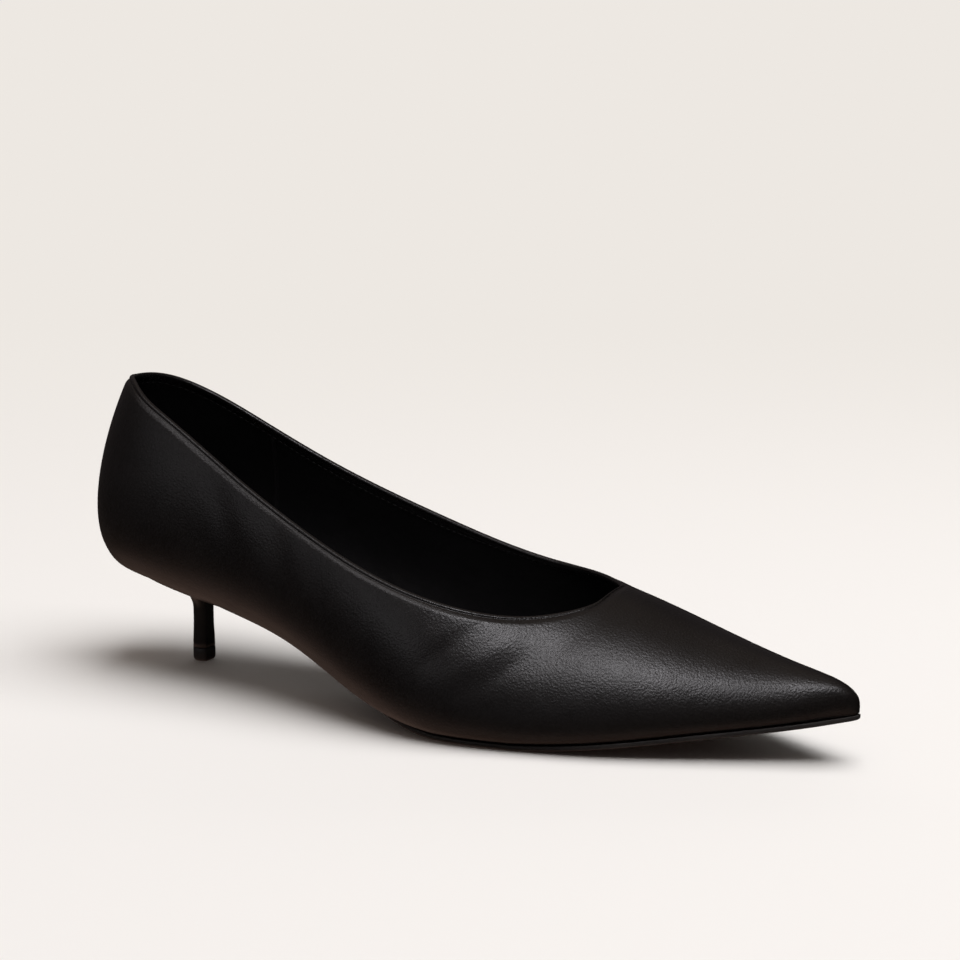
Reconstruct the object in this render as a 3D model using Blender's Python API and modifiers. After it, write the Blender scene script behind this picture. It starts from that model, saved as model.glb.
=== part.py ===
"""Kitten heel pump for the right foot, built as its maker would, each piece a closed solid.

Metres. +X runs to the toe, +Y to the inner side of the foot and +Z up. The shoe stands on z = 0 on
its heel tip and the tread under the ball, with the middle of its box over the origin.
"""
import math

import bmesh
import bpy
import numpy as np

MM = 0.001

# Driving sizes
LENGTH = 266.0 * MM         # feather line, from the back of the heel to the point of the toe
THROAT = 186.0 * MM         # from the back of the heel to the front of the opening
WALL = 1.8 * MM             # leather and lining of the upper together
TIP_WALL = 0.45             # share of the wall left at the very tip of the toe, where it is folded tight,
TIP_TAPER = 4.0 * MM        # and how fast it comes back to the full wall
SOLE = 1.6 * MM             # thickness of the outsole
INSOLE = 2.2 * MM           # board and sock, above the turned-under edge of the upper
GAP = 0.3 * MM              # clearance between neighbours
LAP = 1.0 * MM              # how far sole and heel cover the upper's turned-under edge,
TIP_LAP = 0.3               # the share of that at the point of the toe,
LAP_TAPER = 12.0 * MM       # and how fast it comes back to the full lap
INSET = 1.3 * MM            # how far inside that edge the insole fills the opening
SIDE_GAP = 0.6 * MM         # room between the insole's edge and the upper's wall
INSOLE_END = 9.0 * MM       # how far short of the point of the toe it stops
SEAT_LENGTH = 70.0 * MM     # the heel's seat, from the back; the outsole begins there
MIDDLE = np.array([132.2, -3.9]) * MM   # middle of the shoe's box, moved over the origin

LATERAL, MEDIAL = -1, 1     # outer and inner side of a right foot

# One row for each cross section, in millimetres. x: from the back. feather: height of the edge where
# upper and sole meet. lateral, medial: its distance from the centre line. out, up: how the upper
# leaves that edge. belly, height: its fullest place. ridge, top: the line along the top of the last.
# crown: how broad the top is.
COLUMNS = ("x", "feather", "lateral", "medial", "out", "up", "belly", "height", "ridge", "top", "crown")
SECTIONS = MM * np.array([
    (0.0, 37.0, 0.0, 0.0, 0.0, 4.5, 0.0, 62.0, 0.0, 115.0, 0.0),
    (12.0, 33.5, 14.0, 13.5, 9.5, 3.5, 18.0, 55.0, 0.0, 114.0, 9.0),
    (30.0, 31.0, 17.5, 17.0, 12.0, 4.0, 20.5, 50.0, 0.0, 111.0, 14.0),
    (55.0, 25.6, 17.0, 16.5, 14.5, 4.5, 22.0, 49.0, 0.0, 103.0, 15.5),
    (85.0, 17.8, 19.5, 15.0, 16.0, 4.0, 22.0, 45.0, 1.0, 91.0, 19.5),
    (115.0, 7.0, 28.0, 16.0, 14.5, 3.5, 19.5, 38.0, 2.0, 80.0, 23.0),
    (145.0, 1.9, 36.0, 22.0, 10.0, 1.5, 12.0, 26.5, 3.0, 67.5, 26.0),
    (170.0, 1.9, 33.5, 28.5, 7.5, 1.2, 8.0, 17.0, 3.5, 50.5, 25.5),
    (195.0, 4.2, 27.0, 30.0, 5.5, 1.0, 7.0, 14.0, 4.0, 41.5, 22.5),
    (220.0, 8.0, 17.0, 26.0, 4.0, 1.0, 5.5, 14.5, 5.0, 35.0, 17.0),
    (245.0, 11.7, 5.0, 16.5, 2.7, 1.0, 4.0, 15.5, 5.5, 28.5, 9.0),
    (259.0, 14.2, -2.0, 10.2, 1.8, 1.8, 2.5, 16.5, 5.3, 24.5, 5.0),
    (266.0, 16.0, -5.5, 5.5, 0.0, 2.0, 0.0, 17.0, 5.5, 18.8, 0.0),
])

# How far forward of the first row the back of the shoe lies, from the feather line to the ridge
HEEL_CURVE = MM * np.array([3.0, -3.0, -9.0, 11.0, 25.0])
HEEL_CURVE_END = 70.0 * MM

# The topline. way: from the back of the heel to the throat. lateral, medial: the share of the cross
# section's line, from feather to ridge, that the upper covers there.
TOPLINE = np.array([
    (0 / 7, 0.707, 0.707),
    (1 / 7, 0.719, 0.707),
    (2 / 7, 0.667, 0.667),
    (3 / 7, 0.598, 0.598),
    (4 / 7, 0.565, 0.592),
    (5 / 7, 0.611, 0.650),
    (6 / 7, 0.768, 0.855),
    (7 / 7, 1.000, 1.000),
])

# The heel: a seat with a rounded hull under it, and the slim pin that stands on the floor
SEAT_BACK = 2.0 * MM        # where the hull starts to deepen
SEAT_RIM = 0.9 * MM         # thickness of the seat's edge, which grows to the sole's
RIM_GROWTH = 25.0 * MM      # over the last of the seat's length
HULL_DEPTH = 6.0 * MM       # how much deeper the hull is at the pin
HULL_POWER = 2.2            # 2 is a parabola, more is boxier
PIN_CENTRE = np.array([32.7, 2.0]) * MM
PIN_RADIUS = 3.7 * MM
PIN_BREAST = 2.4 * MM       # from the centre to the flat front, the breast
PIN_WAIST = 0.92            # the pin's slimmest, as a share of its foot
PIN_FILLET = 5.5 * MM       # where it flows into the hull at the back and sides
BREAST_FILLET = 1.5 * MM    # and at the breast
BREAST_START, BREAST_END = 0.0, 0.75    # cosine of the angle from straight ahead between the two fillets
TIP_HEIGHT = 3.6 * MM       # the top piece, which meets the floor
TIP_PROUD = 0.15 * MM       # how much wider it is than the pin

# Mesh densities
HEEL_STEPS, TOE_STEPS, ROWS = 26, 14, 13
CROWDING = 1.25             # more than 1 crowds the rows of the upper towards the feather line
PLATE_STEPS, RING_POINTS = 36, 36


def natural_spline(at, values, where):
    """Values at the places where, on the smooth natural cubic curve through the rows of values."""
    count, step = len(at), np.diff(at)
    matrix, right = np.eye(count), np.zeros(values.shape)
    for i in range(1, count - 1):
        matrix[i, i - 1:i + 2] = step[i - 1], 2 * (step[i - 1] + step[i]), step[i]
        right[i] = 6 * ((values[i + 1] - values[i]) / step[i] - (values[i] - values[i - 1]) / step[i - 1])
    bend = np.linalg.solve(matrix, right)
    k = np.clip(np.searchsorted(at, where) - 1, 0, count - 2)
    wide = step[k][:, None]
    left = (at[k + 1] - where)[:, None] / wide
    near = 1 - left
    curve = (left ** 3 - left) * bend[k] + (near ** 3 - near) * bend[k + 1]
    return left * values[k] + near * values[k + 1] + curve * wide ** 2 / 6


def way_at(x):
    """The way along the last, 0 at the back and 1 at the toe, as the angle of a half circle.

    Even steps of the way crowd together at both ends, so a width that changes evenly with it rounds
    the heel and the toe.
    """
    return np.arccos(np.clip(1 - 2 * np.asarray(x) / LENGTH, -1, 1)) / math.pi


def eased(part):
    """0 to 1 along an S, for a part that runs from 0 to 1."""
    part = np.clip(part, 0, 1)
    return part * part * (3 - 2 * part)


def sizes_at(way):
    """The named sizes of the cross sections at each way; the tread is flat where the sole meets the floor."""
    rows = natural_spline(way_at(SECTIONS[:, 0]), SECTIONS, way)
    sizes = dict(zip(COLUMNS, rows.T))
    sizes["x"] = LENGTH * (1 - np.cos(math.pi * way)) / 2
    sizes["feather"] = np.maximum(sizes["feather"], SOLE + GAP)
    return sizes


def skin(way, share, side):
    """Points of the upper's outer face: at each way, a curve from the feather line to the ridge.

    share has a row for each way, from 0 at the feather line to 1 at the ridge. The curve is a Bezier
    curve of degree four through the five places that a row of SECTIONS gives.
    """
    s = sizes_at(way)
    edge = side * (s["medial"] if side == MEDIAL else s["lateral"])
    places = (
        (edge, s["feather"]),
        (edge + side * s["out"], s["feather"] + s["up"]),
        (edge + side * s["belly"], s["height"]),
        (s["ridge"] + side * s["crown"], s["top"]),
        (s["ridge"], s["top"]),
    )
    fade = np.clip(1 - s["x"] / HEEL_CURVE_END, 0, 1) ** 2
    points = np.zeros(share.shape + (3,))
    for k, (y, z) in enumerate(places):
        weight = math.comb(4, k) * share ** k * (1 - share) ** (4 - k)
        place = np.stack([s["x"] + fade * HEEL_CURVE[k], y, z], axis=-1)
        points += weight[:, :, None] * place[:, None, :]
    return points


def inside(way, share, side, depth):
    """Points that lie depth inside the outer face, along its normals."""
    small = 1e-4
    low, high = np.clip(way - small, 0, 1), np.clip(way + small, 0, 1)
    along = skin(high, share, side) - skin(low, share, side)
    up = skin(way, share + small, side) - skin(way, share - small, side)
    normal = np.cross(along, up) * side
    normal /= np.linalg.norm(normal, axis=-1, keepdims=True)
    return skin(way, share, side) + depth * normal


def inside_at_height(way, side, depth, height):
    """Where the face that lies depth inside the outer one reaches height above the feather line."""
    share = np.tile(np.linspace(0.0, 0.6, 121), (len(way), 1))
    points = inside(way, share, side, depth)
    level = sizes_at(way)["feather"] + height
    line = []
    for row, z in zip(points, level):
        k = int(np.argmax(row[:, 2] >= z))
        part = 0.0 if k == 0 else (z - row[k - 1, 2]) / (row[k, 2] - row[k - 1, 2])
        point = row[k] if k == 0 else row[k - 1] + part * (row[k] - row[k - 1])
        line.append((point[0], point[1], z))
    return np.array(line)


def feather_line(way, side, spread, height=0.0):
    """The feather line moved outwards by spread in plan, and lifted by height."""
    small = 1e-4
    zero = np.zeros((len(way), 1))
    low, high = np.clip(way - small, 0, 1), np.clip(way + small, 0, 1)
    along = (skin(high, zero, side) - skin(low, zero, side))[:, 0]
    length = np.hypot(along[:, 0], along[:, 1])
    line = skin(way, zero, side)[:, 0]
    line[:, 0] -= side * spread * along[:, 1] / length
    line[:, 1] += side * spread * along[:, 0] / length
    line[:, 2] += height
    return line


def new_object(name, mesh, collection, colour, roughness):
    """An object with its own Principled material, in the shoe's collection and frame."""
    shader = bpy.data.materials.new(name)
    shader.use_nodes = True
    principled = shader.node_tree.nodes["Principled BSDF"]
    principled.inputs["Base Color"].default_value = (*colour, 1.0)
    principled.inputs["Roughness"].default_value = roughness
    principled.inputs["Metallic"].default_value = 0.0
    mesh.materials.append(shader)
    mesh.shade_smooth()
    mesh.set_sharp_from_angle(angle=math.radians(40))
    piece = bpy.data.objects.new(name, mesh)
    piece.location = (-MIDDLE[0], -MIDDLE[1], 0.0)
    collection.objects.link(piece)
    return piece


def grid_faces(bm, points, flip):
    """Quads over a grid of points, turned over where flip is true."""
    rows = [[bm.verts.new(p) for p in row] for row in points]
    for a, b in zip(rows, rows[1:]):
        for i in range(len(a) - 1):
            corners = (a[i], b[i], b[i + 1], a[i + 1])
            bm.faces.new(corners[::-1] if flip else corners)


def finished_mesh(bm, name):
    """The mesh of bm, with the points that meet made one."""
    bmesh.ops.remove_doubles(bm, verts=bm.verts, dist=1e-6)
    mesh = bpy.data.meshes.new(name)
    bm.to_mesh(mesh)
    bm.free()
    return mesh


def loft(name, rings, capped):
    """A closed skin over rings of points, each ring a closed outline, capped at the ends named."""
    bm = bmesh.new()
    loops = [[bm.verts.new(p) for p in ring] for ring in rings]
    count = len(loops[0])
    for a, b in zip(loops, loops[1:]):
        for i in range(count):
            j = (i + 1) % count
            bm.faces.new((a[i], a[j], b[j], b[i]))
    if capped[0]:
        bm.faces.new(loops[0][::-1])
    if capped[1]:
        bm.faces.new(loops[-1])
    mesh = finished_mesh(bm, name)
    bm = bmesh.new()
    bm.from_mesh(mesh)
    bmesh.ops.recalc_face_normals(bm, faces=bm.faces)
    bm.to_mesh(mesh)
    bm.free()
    return mesh


def across(half):
    """Rings round a plate: up the lateral lines, and down the medial ones."""
    return np.stack(half[0] + half[1][::-1], axis=1)


def make_upper(collection):
    """The lasted upper: an open skin, folded round heel and toe, given its wall inwards."""
    turn = np.linspace(0.0, 1.0, HEEL_STEPS + 1)
    opened = way_at(THROAT * (1 - np.cos(math.pi * turn)) / 2)
    closed = np.linspace(way_at(THROAT), 1.0, TOE_STEPS + 1)[1:]
    way = np.concatenate([opened, closed])
    covered = np.minimum(natural_spline(TOPLINE[:, 0], TOPLINE[:, 1:], turn), 1.0)
    bm = bmesh.new()
    for column, side in enumerate((LATERAL, MEDIAL)):
        top = np.concatenate([covered[:, column], np.ones(TOE_STEPS)])
        share = top[:, None] * np.linspace(0.0, 1.0, ROWS + 1)[None, :] ** CROWDING
        grid_faces(bm, skin(way, share, side), side == MEDIAL)
    bmesh.ops.triangulate(bm, faces=bm.faces, quad_method="SHORT_EDGE")
    upper = new_object("upper", finished_mesh(bm, "upper"), collection, (0.012, 0.011, 0.012), 0.38)
    thick = upper.vertex_groups.new(name="thick")
    for vertex in upper.data.vertices:
        from_tip = LENGTH - vertex.co.x
        thick.add([vertex.index], min(1.0, TIP_WALL + from_tip / TIP_TAPER), "REPLACE")
    wall = upper.modifiers.new("wall", "SOLIDIFY")
    wall.thickness = WALL
    wall.offset = -1.0
    wall.vertex_group = "thick"


def make_insole(collection):
    """Board and sock: as wide as the opening below, and above it spread into the bowl of the upper."""
    way = np.linspace(0.0, way_at(LENGTH - INSOLE_END), PLATE_STEPS + 1)
    half = []
    for side in (LATERAL, MEDIAL):
        below = feather_line(way, side, -INSET, GAP)
        shoulder = feather_line(way, side, -INSET, WALL + 2 * GAP)
        half.append([below, shoulder] + [
            inside_at_height(way, side, WALL + SIDE_GAP, WALL + 2 * GAP + INSOLE * part)
            for part in (0.35, 0.7, 1.0)
        ])
    rings = across(half)
    rings[0] = (rings[0] + rings[0][::-1]) / 2
    mesh = loft("insole", rings, (False, True))
    new_object("insole", mesh, collection, (0.02, 0.018, 0.02), 0.7)


def make_outsole(collection):
    """The thin sole: it follows the feather line from the end of the heel's seat to the toe."""
    way = np.linspace(way_at(SEAT_LENGTH + GAP), 1.0, PLATE_STEPS + 1)
    edge = 0.5 * MM
    from_tip = LENGTH - sizes_at(way)["x"]
    lap = LAP * (TIP_LAP + (1 - TIP_LAP) * eased(from_tip / LAP_TAPER))
    half = []
    for side in (LATERAL, MEDIAL):
        half.append([
            feather_line(way, side, lap - edge, -GAP - SOLE),
            feather_line(way, side, lap, -GAP - SOLE + edge),
            feather_line(way, side, lap, -GAP),
        ])
    rings = across(half)
    rings[-1] = (rings[-1] + rings[-1][::-1]) / 2
    mesh = loft("outsole", rings, (True, False))
    new_object("outsole", mesh, collection, (0.02, 0.017, 0.015), 0.6)


def pin_outline(scale, height, proud=0.0):
    """The pin's D shape at a height: a round back, with the flat breast in front."""
    angle = 2 * math.pi * np.arange(RING_POINTS) / RING_POINTS
    x = np.minimum((PIN_RADIUS * scale + proud) * np.cos(angle), PIN_BREAST * scale + proud)
    y = (PIN_RADIUS * scale + proud) * np.sin(angle)
    return np.stack([PIN_CENTRE[0] + x, PIN_CENTRE[1] + y, np.full(RING_POINTS, height)], axis=-1)


def seat_height(x):
    """Height of the seat's flat top, just under the feather line, at x."""
    line = feather_line(np.linspace(0.0, way_at(SEAT_LENGTH + 30 * MM), 120), MEDIAL, 0.0, -GAP)
    return np.interp(x, line[:, 0], line[:, 2])


def seat_outline():
    """The seat's edge in plan, where a ray from the pin's centre meets it at each of the pin's angles."""
    way = np.linspace(0.0, way_at(SEAT_LENGTH + 30 * MM), 160)
    line = np.concatenate([feather_line(way, side, LAP)[:, :2] for side in (LATERAL, MEDIAL)]) - PIN_CENTRE
    angle = np.arctan2(line[:, 1], line[:, 0])
    order = np.argsort(angle)
    turn = 2 * math.pi * np.arange(RING_POINTS) / RING_POINTS
    reach = np.interp(turn, angle[order], np.hypot(line[:, 0], line[:, 1])[order], period=2 * math.pi)
    front = (SEAT_LENGTH - PIN_CENTRE[0]) / np.maximum(np.cos(turn), 1e-6)
    reach = np.minimum(reach, front)
    outline = PIN_CENTRE + reach[:, None] * np.stack([np.cos(turn), np.sin(turn)], axis=-1)
    for side in (LATERAL, MEDIAL):
        corner = feather_line(np.array([way_at(SEAT_LENGTH)]), side, LAP)[0, :2]
        corner[0] = SEAT_LENGTH
        nearest = np.argmin(np.hypot(*(outline - corner).T))
        outline[nearest] = corner
    return outline


def hull_height(plan, side_reach):
    """Height of the hull under the seat: deepest along the middle at the pin, and thin at its edge.

    side_reach is how far out the edge lies there. The depth falls off lengthwise and across with the
    same power of the distance.
    """
    x, y = plan[:, 0], plan[:, 1]
    behind = (PIN_CENTRE[0] - x) / (PIN_CENTRE[0] - SEAT_BACK)
    ahead = (x - PIN_CENTRE[0]) / (SEAT_LENGTH - PIN_CENTRE[0])
    lengthwise = np.clip(np.maximum(behind, ahead), 0, 1)
    across = np.clip(np.abs(y) / side_reach, 0, 1)
    deep = HULL_DEPTH * (1 - lengthwise ** HULL_POWER) * (1 - across ** HULL_POWER)
    rim = SEAT_RIM + (SOLE - SEAT_RIM) * eased(1 - (SEAT_LENGTH - x) / RIM_GROWTH)
    return seat_height(x) - rim - deep


def half_width(x):
    """Half the seat's width at x."""
    way = np.linspace(0.0, way_at(SEAT_LENGTH + 30 * MM), 120)
    halves = [np.interp(x, line[:, 0], np.abs(line[:, 1])) for line in
              (feather_line(way, side, LAP) for side in (LATERAL, MEDIAL))]
    return np.maximum(sum(halves) / 2, 1 * MM)


def make_heel(collection):
    """The covered heel: the seat under the upper, its hull, and the pin that it flows into."""
    def raised(plan, height):
        return np.column_stack([plan, height])

    edge = seat_outline()
    foot = pin_outline(1.0, 0.0)[:, :2]
    turn = 2 * math.pi * np.arange(RING_POINTS) / RING_POINTS
    ahead = eased((np.cos(turn) - BREAST_START) / (BREAST_END - BREAST_START))
    fillet = PIN_FILLET + (BREAST_FILLET - PIN_FILLET) * ahead
    out = np.stack([np.cos(turn), np.sin(turn)], axis=-1)
    waist = pin_outline(PIN_WAIST, 0.0)[:, :2]
    root = waist + fillet[:, None] * out
    rings = []
    for part in (0.02, 0.35, 0.7, 1.0):
        plan = PIN_CENTRE + part * (edge - PIN_CENTRE)
        rings.append(raised(plan, seat_height(plan[:, 0])))
    for part in (1.0, 0.85, 0.65, 0.45, 0.22, 0.0):
        plan = root + part * (edge - root)
        rings.append(raised(plan, hull_height(plan, half_width(plan[:, 0]))))
    under = rings[-1][:, 2]
    for turned in np.radians((25, 50, 72, 90)):
        plan = root - (fillet * math.sin(turned))[:, None] * out
        rings.append(raised(plan, under - fillet * (1 - math.cos(turned))))
    for scale, height in ((PIN_WAIST, 14 * MM), (0.94, 9 * MM), (1.0, TIP_HEIGHT + GAP)):
        rings.append(pin_outline(scale, height))
    new_object("heel", loft("heel", rings, (True, True)), collection, (0.012, 0.011, 0.012), 0.34)


def make_top_piece(collection):
    """The hard-wearing tip: the pin's outline, a little proud, with its edge worn round at the floor."""
    edge = 0.4 * MM
    rings = [
        pin_outline(1.0, TIP_HEIGHT, TIP_PROUD),
        pin_outline(1.0, edge, TIP_PROUD),
        pin_outline(1.0, 0.0, TIP_PROUD - edge),
    ]
    new_object("top_piece", loft("top_piece", rings, (True, True)), collection, (0.02, 0.02, 0.02), 0.5)


def main():
    for old in list(bpy.data.objects):
        bpy.data.objects.remove(old)
    collection = bpy.data.collections.new("kitten_heel_pump")
    bpy.context.scene.collection.children.link(collection)
    make_upper(collection)
    make_insole(collection)
    make_outsole(collection)
    make_heel(collection)
    make_top_piece(collection)


main()
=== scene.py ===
"""Kitten heel pump for the right foot: the looks of every piece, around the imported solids.

Metres, in the solids' frame: +X to the toe, +Y to the inner side of the foot, +Z up, with the floor
at z = 0. The file goes through the shoe in the order in which it is put together, after the
photographer's camera, paper and lamps.
"""
import math

import bmesh
import bpy
import numpy as np
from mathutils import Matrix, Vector


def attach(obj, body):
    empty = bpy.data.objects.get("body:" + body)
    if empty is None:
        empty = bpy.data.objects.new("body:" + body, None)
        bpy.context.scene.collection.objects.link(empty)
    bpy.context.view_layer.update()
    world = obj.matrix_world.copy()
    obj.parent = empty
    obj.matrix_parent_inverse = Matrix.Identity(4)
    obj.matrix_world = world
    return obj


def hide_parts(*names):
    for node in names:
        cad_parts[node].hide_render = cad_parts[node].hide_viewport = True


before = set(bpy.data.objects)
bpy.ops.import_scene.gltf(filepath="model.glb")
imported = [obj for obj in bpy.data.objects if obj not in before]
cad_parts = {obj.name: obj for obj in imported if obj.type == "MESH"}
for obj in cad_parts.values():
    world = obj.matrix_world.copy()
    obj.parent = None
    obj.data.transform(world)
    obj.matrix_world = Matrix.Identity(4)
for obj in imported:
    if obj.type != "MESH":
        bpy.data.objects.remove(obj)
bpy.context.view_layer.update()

# The camera: a long lens, a little over the shoe and well round to its outer side, as in the
# photograph. Its aim is a point low over the ball, which puts the shoe under the middle of the frame.
AZIMUTH = math.radians(29.9)
ELEVATION = math.radians(12.4)
DISTANCE = 0.875
AIM = Vector((0.0051, 0.0091, 0.0721))
FOCAL_PIXELS = 2800
FRAME_PIXELS = 960

lens = bpy.data.cameras.new("camera")
lens.sensor_width = 36.0
lens.lens = FOCAL_PIXELS / FRAME_PIXELS * lens.sensor_width
lens.clip_start = 0.02
lens.clip_end = 50.0
camera = bpy.data.objects.new("camera", lens)
towards_camera = Vector((
    math.sin(AZIMUTH) * math.cos(ELEVATION),
    -math.cos(AZIMUTH) * math.cos(ELEVATION),
    math.sin(ELEVATION),
))
camera.location = AIM + DISTANCE * towards_camera
camera.rotation_mode = "QUATERNION"
camera.rotation_quaternion = (-towards_camera).to_track_quat("-Z", "Y")
bpy.context.scene.collection.objects.link(camera)
bpy.context.scene.camera = camera
bpy.context.scene.view_settings.view_transform = "Standard"


# The paper: one pale sheet that lies under the shoe and curves up far behind it. It is nearly white
# on the floor and a little warmer and greyer where it stands.
class Value:
    """One output of a node. Sums, differences and products of it add Math nodes."""

    def __init__(self, finish, socket):
        self.finish = finish
        self.socket = socket

    def math(self, operation, *others):
        inputs = dict(enumerate((self,) + others))
        return self.finish.node("ShaderNodeMath", {"operation": operation}, inputs)

    def __add__(self, other):
        return self.math("ADD", other)

    __radd__ = __add__

    def __mul__(self, other):
        return self.math("MULTIPLY", other)

    def __sub__(self, other):
        return self.math("SUBTRACT", other)

    def __rsub__(self, other):
        return (self * -1.0) + other

    def eased(self, low, high):
        """0 up to low, 1 from high on, and an S between them."""
        ends = {"Value": self, "From Min": low, "From Max": high, "To Min": 0.0, "To Max": 1.0}
        return self.finish.node("ShaderNodeMapRange", {"interpolation_type": "SMOOTHSTEP"}, ends)


class Finish:
    """A material with one Principled shader, whose constant sockets are set by name."""

    def __init__(self, name, **constants):
        self.material = bpy.data.materials.new(name)
        self.material.use_nodes = True
        self.tree = self.material.node_tree
        self.shader = self.tree.nodes["Principled BSDF"]
        for socket, value in constants.items():
            self.shader.inputs[socket.replace("_", " ")].default_value = value

    def node(self, kind, settings, inputs, output=0):
        """A node of that kind. Its settings go first, a ramp's stops among them, then its inputs."""
        made = self.tree.nodes.new(kind)
        for name, value in settings.items():
            if name == "stops":
                ramp = made.color_ramp.elements
                while len(ramp) < len(value):
                    ramp.new(0.5)
                for element, (place, colour) in zip(ramp, value):
                    element.position = place
                    element.color = (*colour, 1.0)
            else:
                setattr(made, name, value)
        for name, value in inputs.items():
            if isinstance(value, Value):
                self.tree.links.new(value.socket, made.inputs[name])
            else:
                made.inputs[name].default_value = value
        return Value(self, made.outputs[output])

    def drive(self, **links):
        """Links values to the shader's sockets by name."""
        for socket, value in links.items():
            self.tree.links.new(value.socket, self.shader.inputs[socket.replace("_", " ")])

    def place(self):
        """Object coordinates, which are the shoe's own, in metres."""
        return self.node("ShaderNodeTexCoord", {}, {}, "Object")

    def attribute(self, name):
        """A number that the mesh carries at each point."""
        return self.node("ShaderNodeAttribute", {"attribute_name": name}, {}, "Fac")

    def noise(self, scale, detail=2.0, roughness=0.5, stretch=(1.0, 1.0, 1.0)):
        """Noise from 0 to 1 over the object, with scale lumps a metre, more along a stretched axis."""
        spread = self.node("ShaderNodeMapping", {}, {"Vector": self.place(), "Scale": stretch})
        inputs = {"Vector": spread, "Scale": scale, "Detail": detail, "Roughness": roughness}
        return self.node("ShaderNodeTexNoise", {}, inputs)

    def mix(self, share, first, second):
        """The first colour where share is 0, the second where it is 1."""
        inputs = {0: share, 6: first, 7: second}
        return self.node("ShaderNodeMix", {"data_type": "RGBA"}, inputs, 2)

    def bump(self, height, distance, strength=1.0, under=None):
        """A normal from a height of 0 to 1, which stands for distance metres."""
        inputs = {"Height": height, "Distance": distance, "Strength": strength}
        if under is not None:
            inputs["Normal"] = under
        return self.node("ShaderNodeBump", {}, inputs)


def smooth_mesh(name, grids, numbers=None, turned=False):
    """One mesh of quads over grids of points, each of shape (rows, columns, 3), welded where they meet.

    numbers maps the name of a point attribute to an array for each grid, of shape (rows, columns).
    """
    points, quads, start = [], [], 0
    for grid in grids:
        rows, columns = grid.shape[:2]
        index = start + np.arange(rows * columns).reshape(rows, columns)
        corners = (index[:-1, :-1], index[1:, :-1], index[1:, 1:], index[:-1, 1:])
        quads.append(np.stack(corners, axis=-1).reshape(-1, 4))
        points.append(grid.reshape(-1, 3))
        start += rows * columns
    quads = np.concatenate(quads)
    if turned:
        quads = quads[:, ::-1]
    mesh = bpy.data.meshes.new(name)
    mesh.from_pydata(np.concatenate(points), [], quads)
    for attribute, values in (numbers or {}).items():
        layer = mesh.attributes.new(attribute, "FLOAT", "POINT")
        layer.data.foreach_set("value", np.concatenate([v.ravel() for v in values]).astype(np.float32))
    bm = bmesh.new()
    bm.from_mesh(mesh)
    bmesh.ops.remove_doubles(bm, verts=bm.verts, dist=2e-6)
    bmesh.ops.dissolve_degenerate(bm, edges=bm.edges, dist=1e-7)
    bm.to_mesh(mesh)
    bm.free()
    mesh.shade_smooth()
    return mesh


def add_piece(name, mesh, finish, slot=None, stands_for=()):
    """An object for the mesh, with its finish. With a slot it is part of the shoe and rides on it."""
    piece = bpy.data.objects.new(name, mesh)
    bpy.context.scene.collection.objects.link(piece)
    mesh.materials.append(finish.material)
    if slot:
        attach(piece, "root")
    if stands_for:
        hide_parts(*stands_for)
    return piece


PAPER_REACH = 6.0
PAPER_BACK = 5.0
PAPER_BEND = 1.2
PAPER_HEIGHT = 4.0
NEAR_WHITE, FAR_GREY = 0.0, 0.75    # metres behind the shoe between which the paper turns warm grey

bend = np.linspace(0.0, math.pi / 2, 24)
curve_y = PAPER_BACK + PAPER_BEND * np.sin(bend)
paper_y = np.concatenate([[-PAPER_REACH], curve_y, [PAPER_BACK + PAPER_BEND]])
paper_z = np.concatenate([[0.0], PAPER_BEND * (1 - np.cos(bend)), [PAPER_HEIGHT]])
across = np.linspace(-PAPER_REACH, PAPER_REACH, 3)
sheet = np.stack([
    across[None, :] * math.cos(AZIMUTH) - paper_y[:, None] * math.sin(AZIMUTH),
    across[None, :] * math.sin(AZIMUTH) + paper_y[:, None] * math.cos(AZIMUTH),
    np.repeat(paper_z[:, None], 3, axis=1),
], axis=-1)
behind = np.repeat(paper_y[:, None], 3, axis=1)
paper_finish = Finish("paper", Roughness=0.95, Specular_IOR_Level=0.1, Emission_Strength=1.0)
far = paper_finish.attribute("behind").eased(NEAR_WHITE, FAR_GREY)
paper_finish.drive(
    Base_Color=paper_finish.mix(far, (0.86, 0.842, 0.826, 1.0), (0.0, 0.0, 0.0, 1.0)),
    Emission_Color=paper_finish.mix(far, (0.0, 0.0, 0.0, 1.0), (0.845, 0.805, 0.76, 1.0)),
)
paper = add_piece("paper", smooth_mesh("paper", [sheet], {"behind": [behind]}, turned=True), paper_finish)
paper.visible_glossy = False


# The lamps: a great soft sheet overhead and to the right, which lights the floor and which the leather
# doesn't mirror. Three boxes show only in its shine: a small bright one along the vamp, a wide one
# over the whole outer side, and a weak one low on the left.
def soft_box(name, azimuth, elevation, distance, size, radiance, colour, mirrored=True):
    """An area light at that direction and distance, which faces the shoe with an even radiance.

    It either shows in the leather's shine or lights the floor, and not both.
    """
    light = bpy.data.lights.new(name, "AREA")
    light.shape = "RECTANGLE"
    light.size, light.size_y = size
    light.energy = radiance * math.pi * size[0] * size[1]
    light.color = colour
    lamp = bpy.data.objects.new(name, light)
    a, e = math.radians(azimuth), math.radians(elevation)
    way_there = Vector((math.sin(a) * math.cos(e), -math.cos(a) * math.cos(e), math.sin(e)))
    lamp.location = Vector((0.0, 0.0, 0.03)) + distance * way_there
    lamp.rotation_mode = "QUATERNION"
    lamp.rotation_quaternion = (-way_there).to_track_quat("-Z", "Y")
    lamp.visible_glossy = mirrored
    lamp.visible_diffuse = not mirrored
    bpy.context.scene.collection.objects.link(lamp)
    return lamp


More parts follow.
